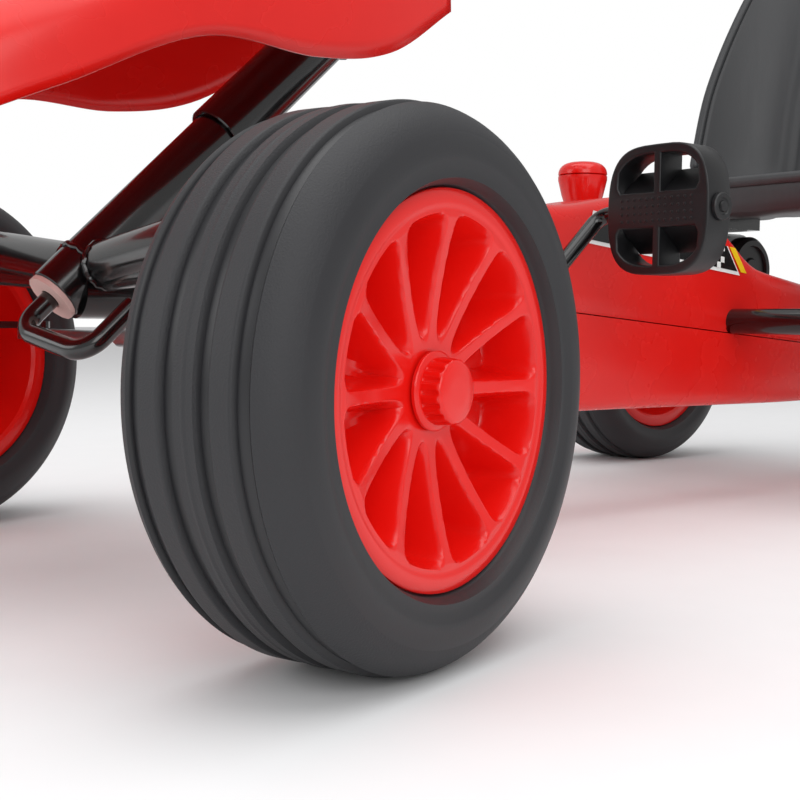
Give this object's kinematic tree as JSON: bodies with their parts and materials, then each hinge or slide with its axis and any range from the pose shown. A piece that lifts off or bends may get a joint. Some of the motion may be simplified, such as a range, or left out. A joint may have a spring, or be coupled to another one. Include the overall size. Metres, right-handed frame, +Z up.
{
  "type": "pedal go kart",
  "caption": "Child's ride-on pedal kart: tubular frame, moulded wheels with foam tyres, steered front axle, chain-driven rear axle, bucket seat and front fairing.",
  "frame": {"origin": "on the ground, at the middle of the bounding box's base", "axes": "+Z up, -Y to the nose, +X to the kart's left"},
  "size_m": [0.658, 1.1333, 0.615],
  "materials": {
    "foam": "matte foam",
    "red_plastic": "gloss",
    "black_paint": "gloss",
    "black_plastic": "satin",
    "steel": "zinc plated",
    "nylon": "matte"
  },
  "bodies": {
    "frame": {"front_frame": "black_paint", "main_frame": "black_paint", "post_sleeve": "black_paint", "shaft_bush_lower": "nylon", "shaft_bush_upper": "nylon", "fairing_bracket": "black_paint", "front_fairing": "red_plastic", "case_upper": "red_plastic", "case_lower": "red_plastic", "chain": "steel", "crank_bush_left": "steel", "crank_bush_right": "steel", "axle_bearing_left": "steel", "axle_bearing_right": "steel"},
    "steering": {"steering_shaft": "black_paint", "steering_wheel": "black_plastic", "steering_pad": "black_plastic"},
    "knuckle_left": {"knuckle_left": "black_paint", "kingpin_nut_left": "steel"},
    "knuckle_right": {"knuckle_right": "black_paint", "kingpin_nut_right": "steel"},
    "front_wheel_left": {"tyre_front_left": "foam", "rim_front_left": "red_plastic", "hub_cap_front_left": "red_plastic"},
    "front_wheel_right": {"tyre_front_right": "foam", "rim_front_right": "red_plastic", "hub_cap_front_right": "red_plastic"},
    "track_rod": {"tie_rod_left": "steel", "tie_rod_right": "steel"},
    "rear_axle": {"rear_axle": "steel", "rear_sprocket": "steel", "tyre_rear_left": "foam", "rim_rear_left": "red_plastic", "hub_cap_rear_left": "red_plastic", "tyre_rear_right": "foam", "rim_rear_right": "red_plastic", "hub_cap_rear_right": "red_plastic"},
    "crank": {"crank": "black_paint", "chainring": "steel"},
    "pedal_left": {"pedal_left": "black_plastic", "pedal_cap_left": "black_plastic"},
    "pedal_right": {"pedal_right": "black_plastic", "pedal_cap_right": "black_plastic"},
    "seat": {"seat": "black_plastic", "seat_runner_left": "black_paint", "seat_runner_right": "black_paint"},
    "seat_clamp": {"seat_clamp_knob": "black_plastic"},
    "lever": {"lever": "black_paint", "lever_knob": "red_plastic", "lever_knob_cap": "red_plastic"}
  },
  "joints": [
    {"name": "steering_turn", "type": "hinge", "parent": "frame", "child": "steering", "pos_m": [0, -0.389, 0.171], "axis": [0, 0.7314, 0.682], "range_deg": [-41, 9]},
    {"name": "knuckle_left_turn", "type": "hinge", "parent": "frame", "child": "knuckle_left", "pos_m": [0.185, -0.366, 0.2], "axis": [0, 0, 1], "range_deg": [-41, 9]},
    {"name": "knuckle_right_turn", "type": "hinge", "parent": "frame", "child": "knuckle_right", "pos_m": [-0.185, -0.366, 0.2], "axis": [0, 0, 1], "range_deg": [-41, 9]},
    {"name": "track_rod_slide", "type": "slide", "parent": "frame", "child": "track_rod", "axis": [1, 0, 0], "range_m": [-0.009, 0.036]},
    {"name": "front_wheel_left_spin", "type": "hinge", "parent": "knuckle_left", "child": "front_wheel_left", "pos_m": [0.25493, -0.34595, 0.127], "axis": [0.9613, 0.2756, 0], "continuous": true},
    {"name": "front_wheel_right_spin", "type": "hinge", "parent": "knuckle_right", "child": "front_wheel_right", "pos_m": [-0.25493, -0.38605, 0.127], "axis": [0.9613, 0.2756, 0], "continuous": true},
    {"name": "rear_axle_spin", "type": "hinge", "parent": "frame", "child": "rear_axle", "pos_m": [0, 0.439, 0.127], "axis": [1, 0, 0], "continuous": true},
    {"name": "crank_spin", "type": "hinge", "parent": "frame", "child": "crank", "pos_m": [0, -0.071, 0.159], "axis": [1, 0, 0], "continuous": true},
    {"name": "pedal_left_spin", "type": "hinge", "parent": "crank", "child": "pedal_left", "pos_m": [0.141, -0.00074, 0.23568], "axis": [1, 0, 0], "continuous": true},
    {"name": "pedal_right_spin", "type": "hinge", "parent": "crank", "child": "pedal_right", "pos_m": [-0.141, -0.14126, 0.08232], "axis": [1, 0, 0], "continuous": true},
    {"name": "seat_slide", "type": "slide", "parent": "frame", "child": "seat", "axis": [0, 1, 0], "range_m": [-0.03, 0.03]},
    {"name": "seat_clamp_turn", "type": "hinge", "parent": "seat", "child": "seat_clamp", "pos_m": [-0.08, 0.391, 0.212], "axis": [1, 0, 0], "continuous": true},
    {"name": "lever_tilt", "type": "hinge", "parent": "frame", "child": "lever", "pos_m": [-0.053, 0.124, 0.175], "axis": [1, 0, 0], "range_deg": [-15, 15]}
  ],
  "couplings": [
    {"joint": "knuckle_left_turn", "follows": "steering_turn", "ratio": 1},
    {"joint": "knuckle_right_turn", "follows": "steering_turn", "ratio": 1},
    {"joint": "track_rod_slide", "follows": "steering_turn", "m_per_rad": -0.049},
    {"joint": "crank_spin", "follows": "rear_axle_spin", "ratio": 0.5}
  ]
}
